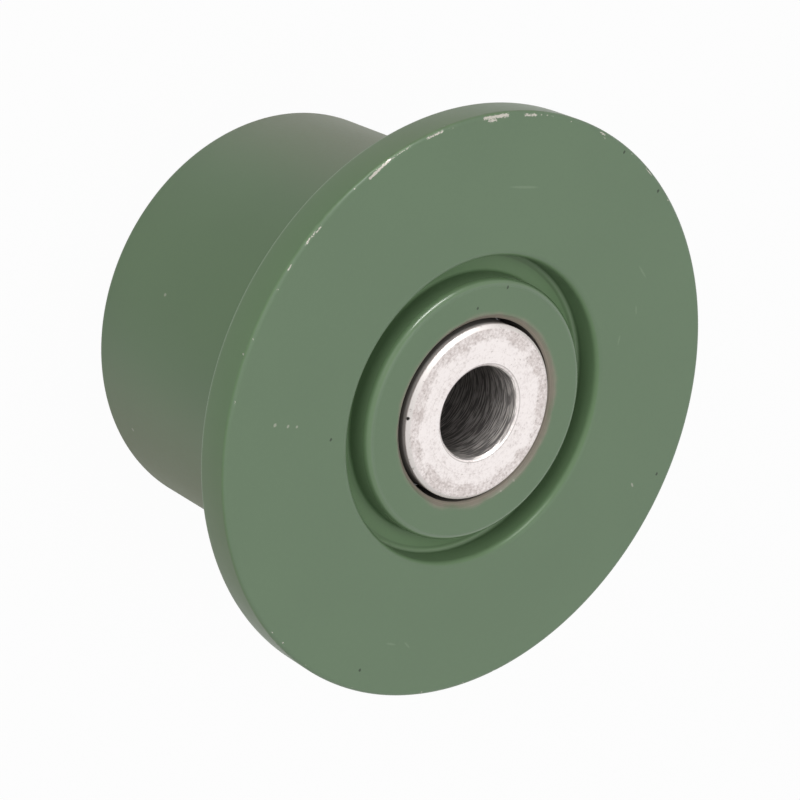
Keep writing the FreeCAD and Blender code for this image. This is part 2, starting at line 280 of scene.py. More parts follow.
# The accent lamp only gleams, and the others light the roller without a gleam
LAMP_DEFAULTS = {
    "key": dict(elevation=78, azimuth=240, power=11.4, width=0.8, height=0.8),
    "fill": dict(elevation=27, azimuth=266, power=9.8, width=0.9, height=0.7),
    "back": dict(elevation=14, azimuth=80, power=5.0, width=0.9, height=0.4),
    "accent": dict(elevation=31, azimuth=216, power=13.0, width=0.8, height=0.35),
}
GLEAMING_LAMP = "accent"
LAMPS = {name: lamp_settings(name, **defaults) for name, defaults in LAMP_DEFAULTS.items()}


# Modelling by hand: wires, lathe and selection

class Corner(NamedTuple):
    """A corner of a turned outline, the radius of its rounding and the faces across that."""
    radius: float
    height: float
    rounding: float = 0.0
    faces: int = 5


OUTWARD = (1, 0)
INWARD = (-1, 0)
UPWARD = (0, 1)
DOWNWARD = (0, -1)
SAME_PLACE = 1e-7
SMOOTH_BELOW = math.radians(30)


def chamfered(before, radius, height, size, after, rounding=0.0):
    """The two corners of a chamfer; before and after are unit steps (radius, height) along the outline."""
    return [
        Corner(radius - before[0] * size, height - before[1] * size, rounding),
        Corner(radius + after[0] * size, height + after[1] * size, rounding),
    ]


def choose(piece, wanted):
    """Selects those vertices of the piece in edit mode that pass the test, and nothing else."""
    shape = bmesh.from_edit_mesh(piece.data)
    for vertex in shape.verts:
        vertex.select_set(wanted(vertex))
    shape.select_flush(True)
    bmesh.update_edit_mesh(piece.data)


def wire(name, outline):
    """A closed wire through the corners of an outline, in the plane of X and Z, left in edit mode."""
    bpy.ops.object.select_all(action="DESELECT")
    bpy.ops.mesh.primitive_circle_add(vertices=len(outline), radius=MM, fill_type="NOTHING",
                                      enter_editmode=True)
    piece = bpy.context.object
    piece.name = name
    piece.data.name = name
    bpy.ops.mesh.select_mode(type="VERT")
    starts = [vertex.co.copy() for vertex in bmesh.from_edit_mesh(piece.data).verts]
    for index, place in enumerate(outline):
        choose(piece, lambda vertex: vertex.index == index)
        bpy.ops.transform.translate(value=Vector((place.radius, 0, place.height)) - starts[index])
    for place in outline:
        if place.rounding > 0:
            middle = Vector((place.radius, 0, place.height))
            choose(piece, lambda vertex: (vertex.co - middle).length < SAME_PLACE)
            bpy.ops.mesh.bevel(offset=place.rounding, offset_type="OFFSET", segments=place.faces,
                               affect="VERTICES", profile=0.5)
    return piece


def close_skin():
    """Merges doubled vertices of the piece in edit mode and turns its faces outwards."""
    bpy.ops.mesh.select_all(action="SELECT")
    bpy.ops.mesh.remove_doubles(threshold=SAME_PLACE)
    bpy.ops.mesh.normals_make_consistent(inside=False)


def lathe(piece, steps):
    """Turns the wire of a piece in edit mode about the axis into a closed skin that faces outwards."""
    bpy.ops.object.mode_set(mode="OBJECT")
    turning = piece.modifiers.new("turning", "SCREW")
    turning.axis = "Z"
    turning.angle = FULL_TURN
    turning.steps = steps
    turning.render_steps = steps
    turning.use_merge_vertices = True
    turning.merge_threshold = SAME_PLACE
    bpy.ops.object.modifier_apply(modifier=turning.name)
    bpy.ops.object.mode_set(mode="EDIT")
    close_skin()


def shade(piece):
    """Leaves edit mode and shades a piece smooth, but for its sharp edges."""
    bpy.ops.object.mode_set(mode="OBJECT")
    bpy.ops.object.select_all(action="DESELECT")
    piece.select_set(True)
    bpy.context.view_layer.objects.active = piece
    bpy.ops.object.shade_smooth_by_angle(angle=SMOOTH_BELOW)


def hand_over(piece, finish, body, node):
    """Gives a finished piece its material and its place in the frame."""
    piece.data.materials.clear()
    piece.data.materials.append(finish.material)
    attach(piece, body)
    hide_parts(node)


def nodes_with(*words):
    """The CAD nodes whose names hold one of the words."""
    return [name for name in sorted(frame["nodes"]) if any(word in name for word in words)]


def dress(nodes, finish):
    """Puts a finish on CAD nodes whose shape is right as it is."""
    for name in nodes:
        for slot in frame["nodes"][name].material_slots:
            slot.material = finish.material


# Node trees written as expressions

def both_ways(operation):
    """An operator of a Term and its reflected form, which add a Math node."""
    def forward(term, other):
        return term.graph.math(operation, term, other)

    def reflected(term, other):
        return term.graph.math(operation, other, term)

    return forward, reflected


class Term:
    """A socket of a node tree that can stand in an expression."""
    __add__, __radd__ = both_ways("ADD")
    __sub__, __rsub__ = both_ways("SUBTRACT")
    __mul__, __rmul__ = both_ways("MULTIPLY")
    __truediv__, __rtruediv__ = both_ways("DIVIDE")
    __pow__, __rpow__ = both_ways("POWER")

    def __init__(self, graph, socket):
        self.graph = graph
        self.socket = socket

    def beside(self, output):
        """Another output of the same node."""
        return Term(self.graph, self.socket.node.outputs[output])

    def __abs__(self):
        return self.graph.math("ABSOLUTE", self)

    def swing(self, width):
        """A value from 0 to 1 as a swing about zero."""
        return (self - 0.5) * width


class MixSocket:
    """Sockets of a Mix node that blends colours, which share their names."""
    FACTOR = 0
    FIRST = 6
    SECOND = 7
    RESULT = 2


class Graph:
    """A node tree that grows by expressions."""

    def __init__(self, tree):
        self.tree = tree
        self.tree.nodes.clear()

    def node(self, kind, settings=None, sockets=None, output=0):
        """Adds a node, sets it, fills or links its sockets and gives one of its outputs."""
        made = self.tree.nodes.new(kind)
        for name, value in (settings or {}).items():
            setattr(made, name, value)
        for name, value in (sockets or {}).items():
            if isinstance(value, Term):
                self.tree.links.new(value.socket, made.inputs[name])
            else:
                made.inputs[name].default_value = value
        return Term(self, made.outputs[output]) if made.outputs else None

    def math(self, operation, *values):
        """A Math node."""
        return self.node("ShaderNodeMath", {"operation": operation}, dict(enumerate(values)))

    def largest(self, *values):
        """The largest of several values."""
        result = values[0]
        for value in values[1:]:
            result = self.math("MAXIMUM", result, value)
        return result

    def step(self, value, low, high):
        """Rises smoothly from 0 at low to 1 at high."""
        return self.node("ShaderNodeMapRange", {"interpolation_type": "SMOOTHSTEP"},
                         {"Value": value, "From Min": low, "From Max": high})

    def fall(self, value, low, high):
        """Falls smoothly from 1 at low to 0 at high."""
        return 1 - self.step(value, low, high)

    def mix(self, factor, first, second):
        """A blend of two colours."""
        first, second = (c if isinstance(c, Term) else (*c, 1.0) for c in (first, second))
        return self.node("ShaderNodeMix", {"data_type": "RGBA"}, {
            MixSocket.FACTOR: factor, MixSocket.FIRST: first, MixSocket.SECOND: second}, MixSocket.RESULT)

    def layered(self, base, layers):
        """A colour with others laid over it, each by its share."""
        for share, layer in layers:
            base = self.mix(share, base, layer)
        return base

    def vector(self, x, y, z):
        """A vector of three values."""
        return self.node("ShaderNodeCombineXYZ", sockets={"X": x, "Y": y, "Z": z})

    def seen_directly(self):
        """1 for rays from the camera, a mirror or glass, and 0 for light on the object."""
        camera = self.node("ShaderNodeLightPath", output="Is Camera Ray")
        return self.largest(camera, camera.beside("Is Glossy Ray"), camera.beside("Is Transmission Ray"))


class Mark(NamedTuple):
    """A small oblong mark on a surface: its place, its extent and its turn about the axis."""
    place: tuple
    length: float
    width: float
    turn: float = 0.0


class Finish(Graph):
    """The node tree of one material, with the object's own coordinates at hand."""

    def __init__(self, name):
        self.material = bpy.data.materials.new(name)
        self.material.use_nodes = True
        super().__init__(self.material.node_tree)
        self.place = self.node("ShaderNodeTexCoord", output="Object")
        self.x = self.node("ShaderNodeSeparateXYZ", sockets={"Vector": self.place}, output="X")
        self.y = self.x.beside("Y")
        self.z = self.x.beside("Z")
        self.radius = self.root(self.x, self.y)

    def root(self, first, second):
        """The root of the sum of two squares."""
        return (first * first + second * second) ** 0.5

    def noise(self, grain, place=None, detail=2.0, roughness=0.5):
        """Noise from 0 to 1 whose features are about one grain wide."""
        return self.node("ShaderNodeTexNoise", sockets={
            "Vector": place or self.place, "Scale": 1 / grain, "Detail": detail, "Roughness": roughness})

    def turned_lines(self, grain):
        """Noise that runs around the axis, like the lines that a lathe leaves."""
        return self.noise(grain, place=self.vector(self.radius, 0.0, self.z))

    def inside(self, marks, ragged):
        """1 inside any of the marks and 0 outside them, with ragged borders."""
        shares = []
        for mark in marks:
            local = self.node("ShaderNodeMapping", {"vector_type": "TEXTURE"}, {
                "Vector": self.place, "Location": mark.place, "Rotation": (0, 0, mark.turn),
                "Scale": (mark.length / 2, mark.width / 2, mark.length / 2)})
            away = self.node("ShaderNodeVectorMath", {"operation": "LENGTH"}, {0: local}, "Value")
            shares.append(self.fall(away + ragged.swing(0.9), low=0.65, high=1.15))
        return self.largest(*shares)

    def bump(self, height, depth, strength):
        """A normal from a height between 0 and 1."""
        return self.node("ShaderNodeBump", sockets={
            "Height": height, "Distance": depth, "Strength": strength})

    def surface(self, sockets, fixed):
        """The shader: sockets vary over the surface, and fixed ones hold all over it."""
        shader = self.node("ShaderNodeBsdfPrincipled", sockets={**fixed, **sockets})
        self.node("ShaderNodeOutputMaterial", sockets={"Surface": shader})


def shades(tone, darker, lighter):
    """Two shades of a colour."""
    return tuple(c * darker for c in tone), tuple(c * lighter for c in tone)


# Wear that the picture shows on the body

class Chip(NamedTuple):
    """A stroke of bare steel along the flange's front edge; angles in degrees, lengths in millimetres."""
    start: float
    end: float
    inset: float
    end_inset: float
    width: float
    fill: float = 1.0


def dot(degrees, inset, width=0.6):
    """A chip as short as it is wide."""
    return Chip(degrees, degrees, inset, inset, width)


EDGE_CHIPS = [
    dot(-115.6, 0.2), Chip(-119.0, -124.2, 0.75, 0.1, 1.2), Chip(-124.2, -128.9, 0.1, 0.0, 0.8, 0.55),
    Chip(-132.6, -136.2, 0.4, 0.4, 0.8), Chip(-137.3, -138.8, 0.4, 0.4, 0.6, 0.6), dot(-137.3, -1.1),
    Chip(-102.2, -106.4, 0.15, 0.5, 0.7, 0.8), Chip(-96.8, -97.8, 0.15, 0.15, 0.6), dot(-92.9, 0.4, 0.7),
    Chip(-145.9, -151.2, 0.5, 0.6, 1.5), Chip(-147.0, -148.6, 1.3, 1.3, 1.3, 0.9), dot(-152.6, 0.5),
    Chip(-155.6, -158.1, 0.75, 0.75, 1.0), dot(-159.6, 0.6), dot(-161.1, 0.6), dot(-162.4, 0.6),
    dot(-167.4, 0.85, 0.7), Chip(-175.6, -177.1, 0.7, 0.7, 0.6), dot(-177.2, 1.3), dot(174.1, 0.65, 0.7),
    Chip(168.9, 166.6, 0.65, 0.65, 0.6, 0.8), dot(159.0, 0.6), dot(-83.3, 0.3), dot(-80.4, -1.0),
    dot(-71.9, 0.65), dot(-22.6, 0.65), dot(-18.8, 0.95), dot(-10.5, 0.65), dot(3.1, 0.45),
    dot(21.4, 0.6), dot(31.9, 0.6), dot(40.0, 0.4), dot(44.0, 0.65),
]
DENT_SHARE = 0.14
CHIP_REACH = 3 * MM
BARE_METAL = "bare_metal"


def on_face(x, y, mark_length, mark_width, degrees=0.0):
    """A mark on the flange's face, given in millimetres."""
    return Mark((x * MM, y * MM, BODY_HIGH.z), mark_length * MM, mark_width * MM, math.radians(degrees))


def on_drum(radius, degrees, height, extent):
    """A mark on the drum's wall; height and extent are given in millimetres."""
    angle = math.radians(degrees)
    return Mark((radius * math.cos(angle), radius * math.sin(angle), height * MM), extent * MM, extent * MM)


DARK_SPECKS = [
    on_face(-61.9, 19.3, 0.9, 0.7), on_face(61.6, 3.2, 0.8, 0.7), on_face(19.0, -35.0, 0.8, 0.6),
    on_face(-6.3, 62.1, 0.9, 0.7), on_face(-64.9, 4.2, 0.8, 0.6), on_face(-19.6, -14.1, 0.8, 0.6),
    on_face(-26.7, -8.9, 0.9, 0.6), on_face(-30.6, -2.7, 0.7, 0.5),
]
LIGHT_SPECKS = [
    on_face(21.2, -50.5, 0.9, 0.8), on_face(20.3, -47.2, 0.8, 0.6), on_face(19.6, -45.0, 0.7, 0.6),
    on_face(-1.4, 56.1, 1.4, 0.6, 60), on_face(11.4, -18.2, 1.0, 0.6, -58),
    on_face(9.8, 19.8, 1.0, 0.6, 64), on_face(13.1, 17.6, 0.9, 0.6, 53),
]
SCRATCHES = [
    on_face(53.8, 8.2, 3.0, 0.5, 100), on_face(52.7, 12.9, 2.4, 0.5, 70),
    on_face(-46.8, -18.0, 8.4, 0.6, 113), on_face(-44.8, 26.6, 4.2, 0.5, 69),
    on_face(-36.7, 30.4, 2.5, 0.5, 40), on_face(-28.9, 29.8, 2.5, 0.5, 20),
]


# Finishes

def warm_reflection_on_flanks(finish, look, sizes):
    """1 on the flanks of the drum and less on those of the rim."""
    drum = sizes.drum_radius
    flank = finish.step(abs(finish.x), low=drum * 0.4, high=drum * 1.1)
    on_wall = finish.step(finish.radius, low=drum * 0.95, high=drum)
    on_rim = finish.step(finish.radius, low=drum * 1.05, high=drum * 1.2)
    off_face = finish.step(BODY_HIGH.z - finish.z, low=0.2 * MM, high=1.0 * MM)
    return flank * on_wall * off_face * (1 - on_rim * look.rim_reflection_cut)


def lighter_back_edge(finish, sizes, ragged):
    """1 along the flange's back edge, with a ragged border."""
    off_rim = sizes.flange_radius - finish.radius
    off_back = finish.z - (BODY_HIGH.z - sizes.flange_thickness)
    off_edge = finish.root(off_rim, off_back) + ragged.swing(sizes.flange_back_edge)
    return finish.fall(off_edge, low=0.3 * MM, high=0.95 * MM)


def off_groove_corner(finish, sizes):
    """Distance from the corner under the groove's outer wall, counted in its rounding's radius."""
    off_wall = sizes.hub_radius + sizes.groove_width - finish.radius
    off_floor = finish.z - (BODY_HIGH.z - sizes.groove_depth)
    return finish.root(off_wall, off_floor) / sizes.groove_floor


def chipped_edge(finish, look, sizes):
    """1 where the paint has chipped off the flange's edge, torn in streaks along it."""
    loss = finish.node("ShaderNodeAttribute", {"attribute_name": BARE_METAL}, output="Fac")
    along = finish.math("ARCTAN2", finish.y, finish.x) * sizes.flange_radius
    place = finish.vector(along * look.stretch, finish.radius, finish.z)
    streaks = finish.noise(look.ragged, place=place, detail=3.0, roughness=0.65)
    torn = finish.step(loss + streaks.swing(look.tearing), low=0.36, high=0.60)
    return torn * finish.step(loss, low=0.02, high=0.1)


def bare_lip(finish, look, sizes, ragged):
    """1 at the mouth of the hub, where the steel is bare, with an uneven border."""
    edge = sizes.lip_radius + sizes.lip_chamfer
    stain = finish.noise(look.stain)
    uneven = finish.radius + ragged.swing(0.9 * MM) + stain.swing(1.8 * MM)
    return finish.fall(uneven, low=edge - 0.8 * MM, high=edge + 0.9 * MM)


def bare_seat(finish, sizes):
    """1 in the bearing seat and at its shoulder, which have no paint."""
    seat = REAR_RING_HIGH.x
    shoulder = FRONT_RING_HIGH.z + sizes.shoulder_relief
    in_seat = finish.fall(finish.radius, low=seat + 0.3 * MM, high=seat + 0.9 * MM)
    return in_seat * finish.fall(finish.z, low=shoulder + 0.3 * MM, high=shoulder + 0.7 * MM)


def gathered_paint(finish, sizes, face):
    """1 along the hub's rounded edge, where the paint has gathered and is glossier."""
    off_middle = abs(sizes.hub_radius - finish.radius - sizes.hub_edge / 3)
    on_edge = finish.fall(off_middle, low=sizes.hub_edge * 0.3, high=sizes.hub_edge * 0.6)
    return on_edge * finish.step(finish.z, low=face - 2.4 * MM, high=face - 1.4 * MM)


def green_paint(look, sizes):
    """Satin green paint with its wear, over steel that is bare at the hub's mouth and in the seat."""
    finish = Finish("green_paint")
    cloud = finish.noise(look.cloud, detail=3.0)
    grain = finish.noise(look.grain, detail=3.0)
    peel = finish.noise(look.peel, detail=1.0)
    ragged = finish.noise(look.ragged, detail=3.0, roughness=0.65)
    tone = finish.step(cloud * 0.6 + grain * 0.4, low=0.3, high=0.7)
    paint = finish.mix(tone, *shades(look.paint, 1 - look.spread, 1 + look.spread))

    face = BODY_HIGH.z - sizes.hub_setback
    # Painted sheen: the faces that look up get a cool, lighter tone, as a reflection would give them.
    sheen_on_upward_faces = finish.step(finish.z, low=face - 0.4 * MM, high=face - 0.1 * MM)
    # Painted warm reflection on the flanks, where the paint is also rougher
    flank_reflection = warm_reflection_on_flanks(finish, look, sizes)
    low_side = finish.step(finish.x, low=0.0, high=sizes.drum_radius)
    off_corner = off_groove_corner(finish, sizes)
    # Painted highlight along the groove's corner, and a painted shade line beside it
    corner_highlight = finish.fall(off_corner, low=0.45, high=0.7)
    corner_shade = finish.fall(abs(off_corner - 1.1), low=0.1, high=0.4)
    drum_specks = [
        on_drum(sizes.drum_radius, degrees=-80.8, height=22.0, extent=0.9),
        on_drum(sizes.drum_radius, degrees=-37.6, height=10.0, extent=0.9),
    ]
    paint = finish.layered(paint, [
        # a painted cool sheen on the faces that look up
        (sheen_on_upward_faces * look.cool_sheen_share, look.film_and_sheen),
        # a painted warm reflection on the flanks of the drum and the rim
        (flank_reflection * (look.warm_reflection_share + grain * look.warm_reflection_grain), look.warm_reflection),
        # a lighter line along the flange's back edge
        (lighter_back_edge(finish, sizes, ragged) * look.back_edge_lightening, look.worn_and_highlight),
        # a painted highlight and a painted shade line in the groove's corner
        (corner_highlight * look.corner_highlight_share, look.worn_and_highlight),
        (corner_shade * look.corner_shade_share, look.dirt_and_shade),
        (finish.inside(SCRATCHES, ragged) * look.scratch_share, look.worn_and_highlight),
        (finish.inside(LIGHT_SPECKS + drum_specks, ragged) * look.speck_share, look.chip),
        (finish.inside(DARK_SPECKS, ragged) * look.dirt_share, look.dirt_and_shade),
    ])

    chipped = chipped_edge(finish, look, sizes)
    in_lip = bare_lip(finish, look, sizes, ragged)
    in_seat = bare_seat(finish, sizes)
    bare = finish.largest(in_lip, in_seat)
    steel = finish.mix(finish.turned_lines(look.turning), *shades(look.lip, darker=0.6, lighter=1.3))
    # Painted shade on the hub's bore, darker deeper in the gap around the sleeve
    gap_shaded = finish.step(face - finish.z, low=sizes.lip_chamfer * 0.7, high=sizes.lip_chamfer * 2.0) * in_lip
    steel = finish.mix(gap_shaded, steel, look.gap_shade)
    gathered = gathered_paint(finish, sizes, face)
    roughness = look.roughness + grain.swing(0.10) + cloud.swing(0.08) + bare * 0.08
    roughness = roughness + flank_reflection * (1 + low_side) * look.flank_roughness - gathered * look.smoother
    height = peel * 0.6 + grain * 0.4 - chipped * 2.0
    finish.surface({
        "Base Color": finish.layered(paint, [(bare, steel), (chipped, look.chip)]),
        "Metallic": finish.largest(in_seat, chipped) * look.metallic,
        "Roughness": roughness,
        "Coat Weight": gathered * look.coat,
        "Normal": finish.bump(height, look.relief, strength=0.6),
    }, {"Specular IOR Level": look.gloss, "Coat Roughness": look.coat_roughness})
    return finish


def shade_in_gap(finish, sizes):
    """1 on the sleeve's wall in the gap to the hub, behind its chamfer."""
    depth = SLEEVE_HIGH.z - finish.z
    front = FRONT_RING_HIGH.z
    below_chamfer = finish.step(depth, low=sizes.end_chamfer + 0.2 * MM, high=sizes.end_chamfer + 1.3 * MM)
    return below_chamfer * finish.step(finish.z, low=front, high=front + 1.0 * MM)


def drilled_wall(finish, look, lines):
    """Colour of the bore's wall, whose lines grow greasy with depth from either mouth."""
    lit_lines = finish.step(lines, low=0.45, high=0.58)
    wall = finish.mix(lit_lines, look.bore_dark, look.bore)
    shaded_lines = finish.mix(lit_lines, *shades(look.bore_shade, darker=0.45, lighter=1.7))
    half = (SLEEVE_HIGH.z - SLEEVE_LOW.z) / 2
    depth = half - abs(finish.z - SLEEVE_LOW.z - half)
    return finish.mix(finish.step(depth, low=0.0, high=look.bore_shade_depth) * look.bore_shade_share, wall, shaded_lines)


def bright_steel(look, sizes):
    """Bright turned steel of the sleeve, speckled on its faces and dark in its drilled bore."""
    finish = Finish("bright_steel")
    speck = finish.noise(look.speck, detail=4.0, roughness=0.7)
    patch = finish.noise(look.patch, detail=3.0)
    rings = finish.turned_lines(look.ring)
    outer = finish.step(finish.radius + patch.swing(4 * MM), low=look.bright_radius - 1.0 * MM,
                        high=look.bright_radius + 0.6 * MM)
    mottle = speck * 0.6 + patch * 0.25 + rings * 0.15 + outer * 0.13
    spotted = finish.step(speck + outer * 0.06, low=0.64, high=0.76)

    chamfer_start = sizes.radius - sizes.end_chamfer
    on_chamfer = finish.step(finish.radius, low=chamfer_start - 0.10 * MM, high=chamfer_start + 0.15 * MM)
    # Painted shade in the gap, where the steel is also less metallic
    gap_shaded = shade_in_gap(finish, sizes) * on_chamfer
    mouth = sizes.bore_radius + sizes.bore_chamfer
    on_mouth = finish.fall(abs(finish.radius - mouth), low=0.04 * MM, high=0.16 * MM)
    nick_height = SLEEVE_HIGH.z - sizes.end_chamfer / 2
    nick = Mark((8.1 * MM, -18.2 * MM, nick_height), length=1.1 * MM, width=0.8 * MM)
    face = finish.layered(look.face, [
        (finish.step(mottle, low=0.46, high=0.74), look.dull),
        (spotted * look.spot_share, look.spot),
        (on_chamfer, finish.mix(spotted * look.spot_share, look.chamfer, look.spot)),
        # painted shade on the sleeve's wall in the gap
        (gap_shaded, look.gap_shade),
        (on_mouth * look.mouth_share, look.spot),
        (finish.inside([nick], speck), look.nick),
    ])

    bore = sizes.bore_radius
    in_bore = finish.fall(finish.radius, low=bore + 0.3 * MM, high=bore + 0.45 * MM)
    in_mouth = finish.fall(finish.radius, low=mouth - 0.1 * MM, high=mouth + 0.1 * MM)
    on_slope = finish.largest(on_chamfer, in_mouth - in_bore)
    stretched = finish.vector(finish.x * look.stretch, finish.y * look.stretch, finish.z)
    lines = finish.noise(look.line, place=stretched, detail=2.0, roughness=0.6)
    height = rings * (1 - in_bore) + lines * in_bore * look.line_relief - spotted * 0.8
    roughness = look.roughness + speck.swing(0.2) + rings.swing(0.15)
    finish.surface({
        "Base Color": finish.mix(in_bore, face, drilled_wall(finish, look, lines)),
        "Metallic": 1 - gap_shaded - in_bore * look.bore_grime,
        "Roughness": roughness + on_slope * look.slope_roughness - in_bore * look.bore_smooth,
        "Normal": finish.bump(height, look.relief, strength=0.8),
    }, {"Specular IOR Level": look.gloss})
    return finish


def ground_steel(look):
    """Ground and polished bearing steel with fine lines around the axis."""
    finish = Finish("ground_steel")
    lines = finish.turned_lines(look.grinding)
    film_and_sheen = finish.noise(look.film_and_sheen, detail=3.0)
    finish.surface({
        "Base Color": finish.mix(film_and_sheen, *shades(look.ground, darker=0.9, lighter=1.1)),
        "Roughness": 0.16 + lines * 0.10 + film_and_sheen * 0.06,
        "Normal": finish.bump(lines, look.relief, strength=0.2),
    }, {"Metallic": 1.0})
    return finish


def pressed_steel(look):
    """Tumbled sheet steel of the cages."""
    finish = Finish("pressed_steel")
    grain = finish.noise(look.grain, detail=4.0, roughness=0.6)
    film_and_sheen = finish.noise(look.film_and_sheen, detail=2.0)
    finish.surface({
        "Base Color": finish.mix(film_and_sheen, *shades(look.cage, darker=0.8, lighter=1.15)),
        "Roughness": 0.3 + grain * 0.2,
        "Normal": finish.bump(grain, look.relief, strength=0.5),
    }, {"Metallic": 1.0})
    return finish


def blackened_spring(look):
    """Phosphated spring steel of the retaining ring, oiled and a little worn."""
    finish = Finish("blackened_spring")
    grain = finish.noise(look.grain, detail=4.0, roughness=0.65)
    film_and_sheen = finish.noise(look.film_and_sheen, detail=3.0)
    finish.surface({
        "Base Color": finish.mix(film_and_sheen, *shades(look.spring, darker=0.7, lighter=1.5)),
        "Roughness": 0.38 + grain * 0.2,
        "Normal": finish.bump(grain, look.relief, strength=0.5),
    }, {"Metallic": 0.7})
    return finish


def seal_rubber(look):
    """Black moulded rubber with a dusty bloom."""
    finish = Finish("seal_rubber")
    grain = finish.noise(look.grain, detail=3.0)
    bloom = finish.noise(look.film_and_sheen, detail=4.0)
    finish.surface({
        "Base Color": finish.mix(bloom, *shades(look.rubber, darker=0.8, lighter=1.9)),
        "Roughness": 0.5 + grain * 0.2,
        "Normal": finish.bump(grain, look.relief, strength=0.6),
    }, {"IOR": 1.5})
    return finish


# Roller body

def ring_insets(sizes, rings):
    """Distances from the flange's front edge whose gaps widen away from it."""
    insets = []
    inset = sizes.flange_edge
    gap = sizes.ring_gap
    for _ in range(rings):
        inset += gap
        gap *= sizes.ring_growth
        insets.append(inset)
    return insets


def body_outline(sizes):
    """Section of the roller body, from the back of its seat round the outside to the clip groove."""
    seat = REAR_RING_HIGH.x
    back = BODY_LOW.z
    face = BODY_HIGH.z
    flange_back = face - sizes.flange_thickness
    hub_face = face - sizes.hub_setback
    floor = face - sizes.groove_depth
    groove = sizes.hub_radius + sizes.groove_width
    relief = seat - sizes.shoulder_width
    relief_height = FRONT_RING_HIGH.z + sizes.shoulder_relief
    clip_groove = seat + sizes.clip_groove_depth
    clip_low = CLIP_LOW.z - sizes.clip_groove_play / 2
    clip_high = CLIP_HIGH.z + sizes.clip_groove_play / 2
    rim_insets = ring_insets(sizes, sizes.rim_rings)
    rim_rings = [Corner(sizes.flange_radius, face - inset) for inset in rim_insets]
    face_insets = ring_insets(sizes, sizes.face_rings)
    face_rings = [Corner(sizes.flange_radius - inset, face) for inset in face_insets]
    return [
        Corner(seat + sizes.seat_lead_in, back),
        Corner(sizes.drum_radius, back, sizes.drum_edge),
        Corner(sizes.drum_radius, flange_back, sizes.drum_root),
        Corner(sizes.flange_radius, flange_back, sizes.flange_back_edge),
        *reversed(rim_rings),
        Corner(sizes.flange_radius, face, sizes.flange_edge),
        *face_rings,
        Corner(groove, face, sizes.groove_rim, faces=7),
        Corner(groove, floor, sizes.groove_floor),
        Corner(sizes.hub_radius, floor, sizes.hub_root),
        Corner(sizes.hub_radius, hub_face, sizes.hub_edge, faces=9),
        *chamfered(INWARD, sizes.lip_radius, hub_face, sizes.lip_chamfer, DOWNWARD),
        Corner(sizes.lip_radius, relief_height),
        Corner(relief, relief_height),
        Corner(relief, FRONT_RING_HIGH.z),
        Corner(seat, FRONT_RING_HIGH.z, sizes.seat_root, faces=3),
        Corner(seat, clip_high),
        Corner(clip_groove, clip_high),
        Corner(clip_groove, clip_low),
        Corner(seat, clip_low),
        Corner(seat, back + sizes.seat_lead_in),
    ]


def edge_place(sizes, degrees, inset):
    """A point by the flange's front edge; inset counts onto the face, and below zero down the rim."""
    angle = math.radians(degrees)
    radius = sizes.flange_radius - max(inset, 0.0) * MM
    return Vector((radius * math.cos(angle), radius * math.sin(angle), BODY_HIGH.z + min(inset, 0.0) * MM))


def presses(chip, radius):
    """Angles and insets along a chip, about one width apart."""
    arc = math.radians(abs(chip.end - chip.start)) * radius / MM
    parts = max(1, round(arc / chip.width))
    for part in range(parts):
        share = (part + 0.5) / parts
        degrees = chip.start + (chip.end - chip.start) * share
        yield degrees, chip.inset + (chip.end_inset - chip.inset) * share


def off_front_edge(sizes, place):
    """How far a place lies from the flange's front edge, seen in section."""
    return math.hypot(sizes.flange_radius - math.hypot(place.x, place.y), BODY_HIGH.z - place.z)


def nick_edge(piece, sizes):
    """Presses the chips into the flange's front edge of the piece in edit mode."""
    choose(piece, lambda vertex: off_front_edge(sizes, vertex.co) < CHIP_REACH)
    bpy.ops.mesh.hide(unselected=True)
    shape = bmesh.from_edit_mesh(piece.data)
    shape.verts.ensure_lookup_table()
    shown = [vertex for vertex in shape.verts if not vertex.hide]
    near = KDTree(len(shown))
    for vertex in shown:
        near.insert(vertex.co, vertex.index)
    near.balance()
    for chip in EDGE_CHIPS:
        for degrees, inset in presses(chip, sizes.flange_radius):
            place = edge_place(sizes, degrees, inset)
            bpy.ops.mesh.select_all(action="DESELECT")
            shape = bmesh.from_edit_mesh(piece.data)
            shape.verts.ensure_lookup_table()
            shape.verts[near.find(place)[1]].select_set(True)
            inward = -Vector((place.x, place.y, 0)).normalized() - Vector((0, 0, 1))
            bpy.ops.transform.translate(value=inward.normalized() * chip.width * DENT_SHARE * MM,
                                        use_proportional_edit=True, proportional_edit_falloff="SMOOTH",
                                        proportional_size=chip.width * MM)
    bpy.ops.mesh.reveal(select=False)


def bare_share(chip, radius, degrees, inset):
    """How far a place lies inside a chip: 0 outside it and up to the chip's fill in its middle."""
    arc = chip.end - chip.start
    share = min(max((degrees - chip.start) / arc, 0.0), 1.0) if arc else 0.0
    past = math.radians(degrees - chip.start - arc * share) * radius / MM
    aside = inset - chip.inset - (chip.end_inset - chip.inset) * share
    return chip.fill * max(0.0, 1 - math.hypot(past, aside) / (chip.width / 2))


def mark_bare_metal(piece, sizes):
    """Writes into each vertex by the edge how far it lies inside a chip."""
    loss = piece.data.attributes.new(BARE_METAL, "FLOAT", "POINT")
    for vertex, value in zip(piece.data.vertices, loss.data):
        if off_front_edge(sizes, vertex.co) > CHIP_REACH:
            continue
        degrees = math.degrees(math.atan2(vertex.co.y, vertex.co.x))
        onto_face = sizes.flange_radius - math.hypot(vertex.co.x, vertex.co.y)
        down_rim = BODY_HIGH.z - vertex.co.z
        inset = (onto_face - down_rim) / MM
        value.value = max(bare_share(chip, sizes.flange_radius, degrees, inset) for chip in EDGE_CHIPS)


